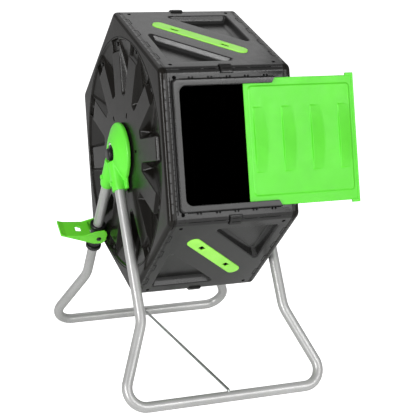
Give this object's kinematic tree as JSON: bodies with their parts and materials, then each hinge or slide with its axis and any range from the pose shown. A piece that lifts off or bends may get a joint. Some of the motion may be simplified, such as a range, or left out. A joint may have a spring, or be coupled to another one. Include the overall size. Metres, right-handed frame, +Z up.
{
  "type": "compost tumbler",
  "caption": "Hexagonal compost drum that turns on a folded-tube stand, with a sliding loading door and a lever lock on one rear leg.",
  "frame": {"origin": "on the floor, at the middle of the whole object's footprint with its door open and its lever out", "axes": "+Z up, +X along the axle towards the side the door opens to, -Y towards the door"},
  "size_m": [0.523, 0.5824, 0.7609],
  "materials": {
    "drum_plastic": "black satin moulded polypropylene",
    "door_green": "lime green satin moulded plastic",
    "strip_green": "lime green satin moulded plastic",
    "hub_green": "lime green glossy moulded plastic",
    "lever_green": "green satin moulded plastic",
    "stand_tube": "silver grey powder coat",
    "zinc_rod": "zinc plated",
    "screw_zinc": "zinc plated",
    "fitting_black": "black moulded plastic"
  },
  "bodies": {
    "stand": {"front_leg_frame": "stand_tube", "rear_leg_frame": "stand_tube", "spreader_rod": "zinc_rod", "left_hub_bracket": "hub_green", "right_hub_bracket": "hub_green", "left_hub_bushing": "fitting_black", "right_hub_bushing": "fitting_black", "front_left_socket_bolt": "fitting_black", "front_right_socket_bolt": "fitting_black", "rear_left_socket_bolt": "fitting_black", "rear_right_socket_bolt": "fitting_black", "lock_collar": "fitting_black", "lock_pivot_pin": "fitting_black"},
    "drum": {"left_end_plate": "drum_plastic", "right_end_plate": "drum_plastic", "front_panel": "drum_plastic", "door_frame": "drum_plastic", "upper_front_panel": "drum_plastic", "upper_rear_panel": "drum_plastic", "rear_panel": "drum_plastic", "lower_rear_panel": "drum_plastic", "lower_front_panel": "drum_plastic", "upper_front_vent_strip": "strip_green", "upper_rear_vent_strip": "strip_green", "rear_vent_strip": "strip_green", "lower_rear_vent_strip": "strip_green", "lower_front_vent_strip": "strip_green", "seam_clip_1": "drum_plastic", "seam_clip_2": "drum_plastic", "seam_clip_3": "drum_plastic", "seam_clip_4": "drum_plastic", "seam_clip_5": "drum_plastic", "seam_clip_6": "drum_plastic", "left_stub_axle": "fitting_black", "right_stub_axle": "fitting_black", "left_axle_cap": "fitting_black", "right_axle_cap": "fitting_black", "left_plate_screw_1": "screw_zinc", "left_plate_screw_2": "screw_zinc", "left_plate_screw_3": "screw_zinc", "left_plate_screw_4": "screw_zinc", "left_plate_screw_5": "screw_zinc", "left_plate_screw_6": "screw_zinc", "left_plate_screw_7": "screw_zinc", "left_plate_screw_8": "screw_zinc", "left_plate_screw_9": "screw_zinc", "left_plate_screw_10": "screw_zinc", "right_plate_screw_1": "screw_zinc", "right_plate_screw_2": "screw_zinc", "right_plate_screw_3": "screw_zinc", "right_plate_screw_4": "screw_zinc", "right_plate_screw_5": "screw_zinc", "right_plate_screw_6": "screw_zinc", "right_plate_screw_7": "screw_zinc", "right_plate_screw_8": "screw_zinc", "right_plate_screw_9": "screw_zinc", "right_plate_screw_10": "screw_zinc"},
    "door": {"sliding_door": "door_green"},
    "lock_lever": {"lock_lever": "lever_green"}
  },
  "joints": [
    {"name": "drum_spin", "type": "hinge", "parent": "stand", "child": "drum", "pos_m": [-0.0135, 0, 0.468], "axis": [-1, 0, 0], "range_deg": [-30, 180]},
    {"name": "door_slide", "type": "slide", "parent": "drum", "child": "door", "axis": [-1, 0, 0], "range_m": [0, 0.143]},
    {"name": "lock_pivot", "type": "hinge", "parent": "stand", "child": "lock_lever", "pos_m": [-0.1725, 0.12337, 0.26564], "axis": [0, -0.8538, -0.5205], "range_deg": [0, 30]}
  ]
}
